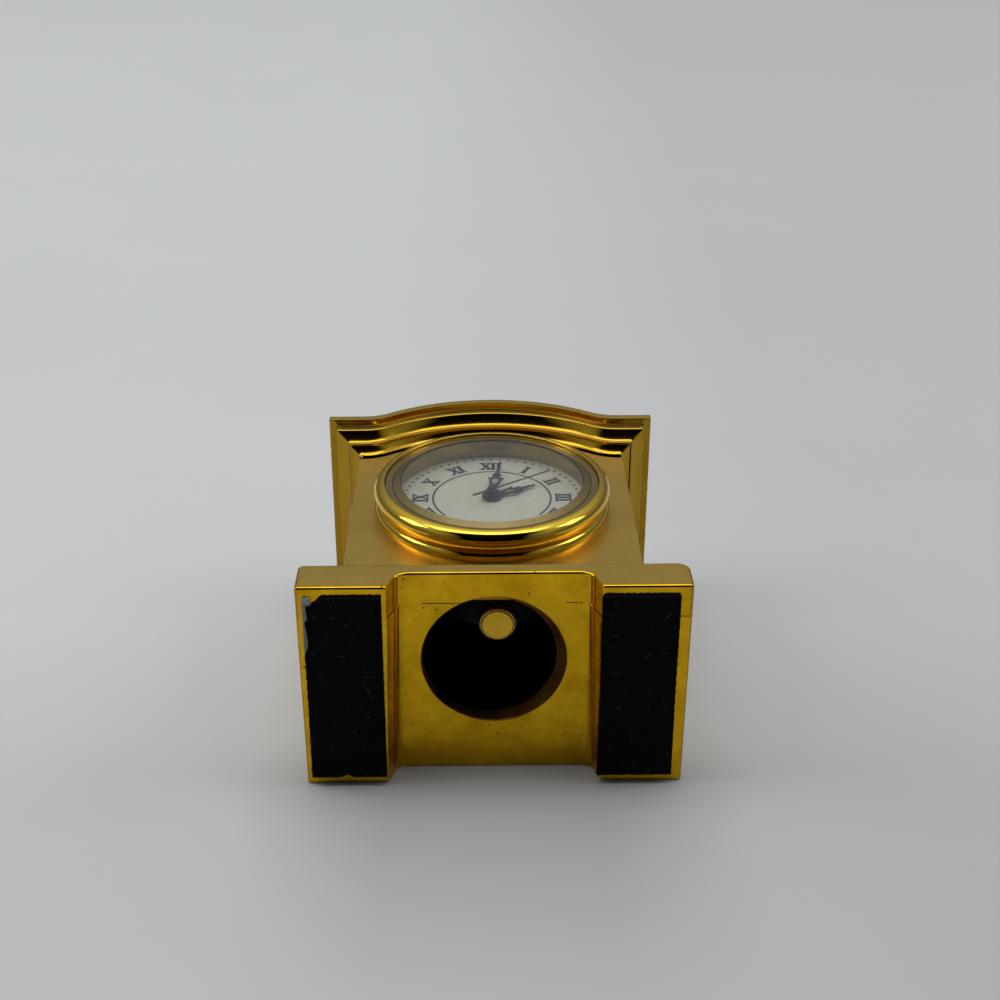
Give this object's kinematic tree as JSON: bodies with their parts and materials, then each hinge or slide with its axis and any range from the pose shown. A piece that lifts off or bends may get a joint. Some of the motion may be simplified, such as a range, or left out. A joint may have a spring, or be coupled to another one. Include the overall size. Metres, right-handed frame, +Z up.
{
  "type": "miniature table clock",
  "caption": "Miniature mantel-style table clock: arched moulded roof, straight body, footed plinth with a round hand hole, and a round pressed-in clock insert with a setting crown below.",
  "frame": {"origin": "middle of the bounding box in plan, on the surface the felt pads rest on", "axes": "+Z up, -Y out of the dial, +X to the right of the dial"},
  "size_m": [0.042, 0.0254, 0.0492],
  "materials": {
    "satin_gold": "satin plated die casting",
    "felt": "matte felt",
    "polished_gold": "polished plating",
    "clear_glass": "polished",
    "dial_white": "pearly lacquer with printed figures",
    "black_plastic": "matte moulded",
    "nickel": "nickel plated",
    "white_plastic": "matte moulded",
    "movement_brass": "satin",
    "steel": "polished",
    "enamelled_copper": "enamelled wire",
    "board_green": "solder mask",
    "black_lacquer": "gloss black"
  },
  "bodies": {
    "case": {"case_casting": "satin_gold", "back_plate": "satin_gold", "felt_pad_left": "felt", "felt_pad_right": "felt", "bezel_ring": "polished_gold", "glass": "clear_glass", "rehaut_ring": "satin_gold", "dial": "dial_white", "clock_can": "black_plastic", "can_lid": "nickel", "retaining_ring": "black_plastic", "movement_ring": "white_plastic", "main_plate": "movement_brass", "bridge": "nickel", "bridge_screw_1": "steel", "bridge_screw_2": "steel", "bridge_screw_3": "steel", "stator": "steel", "coil_core": "steel", "coil_winding": "enamelled_copper", "battery_cell": "steel", "battery_seat": "black_plastic", "battery_strap": "nickel", "circuit_board": "board_green", "control_chip": "black_plastic", "quartz_crystal": "nickel", "stem_tube": "movement_brass"},
    "seconds_train": {"seconds_wheel": "movement_brass", "second_hand": "black_lacquer"},
    "third_train": {"third_wheel": "movement_brass"},
    "minute_train": {"centre_wheel": "movement_brass", "minute_hand": "black_lacquer"},
    "minute_works": {"minute_wheel": "movement_brass"},
    "hour_train": {"hour_wheel": "movement_brass", "hour_hand": "black_lacquer"},
    "step_train": {"step_wheel": "white_plastic"},
    "rotor_body": {"rotor": "steel"},
    "lever_slide": {"setting_lever": "steel"},
    "crown_and_stem": {"setting_stem": "steel", "crown": "polished_gold"}
  },
  "joints": [
    {"name": "seconds_turn", "type": "hinge", "parent": "case", "child": "seconds_train", "pos_m": [0, -0.00925, 0.0253], "axis": [0, 1, 0], "continuous": true},
    {"name": "third_turn", "type": "hinge", "parent": "case", "child": "third_train", "pos_m": [0.00299, -0.00925, 0.02781], "axis": [0, 1, 0], "continuous": true},
    {"name": "minute_turn", "type": "hinge", "parent": "case", "child": "minute_train", "pos_m": [0, -0.00925, 0.0253], "axis": [0, 1, 0], "continuous": true},
    {"name": "minute_works_turn", "type": "hinge", "parent": "case", "child": "minute_works", "pos_m": [0.00185, -0.00925, 0.02309], "axis": [0, 1, 0], "continuous": true},
    {"name": "hour_turn", "type": "hinge", "parent": "case", "child": "hour_train", "pos_m": [0, -0.00925, 0.0253], "axis": [0, 1, 0], "continuous": true},
    {"name": "step_turn", "type": "hinge", "parent": "case", "child": "step_train", "pos_m": [-0.00338, -0.00925, 0.02725], "axis": [0, 1, 0], "continuous": true},
    {"name": "rotor_turn", "type": "hinge", "parent": "case", "child": "rotor_body", "pos_m": [-0.00518, -0.00925, 0.0294], "axis": [0, 1, 0], "continuous": true},
    {"name": "crown_pull", "type": "slide", "parent": "case", "child": "lever_slide", "axis": [0, 0, -1], "range_m": [0, 0.001]},
    {"name": "crown_turn", "type": "hinge", "parent": "lever_slide", "child": "crown_and_stem", "pos_m": [0.0004, -0.004, 0.008], "axis": [0, 0, 1], "continuous": true}
  ],
  "couplings": [
    {"joint": "third_turn", "follows": "seconds_turn", "ratio": -0.125},
    {"joint": "minute_turn", "follows": "seconds_turn", "ratio": 0.016667},
    {"joint": "minute_works_turn", "follows": "seconds_turn", "ratio": -0.0055556},
    {"joint": "hour_turn", "follows": "seconds_turn", "ratio": 0.0013889},
    {"joint": "step_turn", "follows": "seconds_turn", "ratio": -5},
    {"joint": "rotor_turn", "follows": "seconds_turn", "ratio": 30}
  ]
}
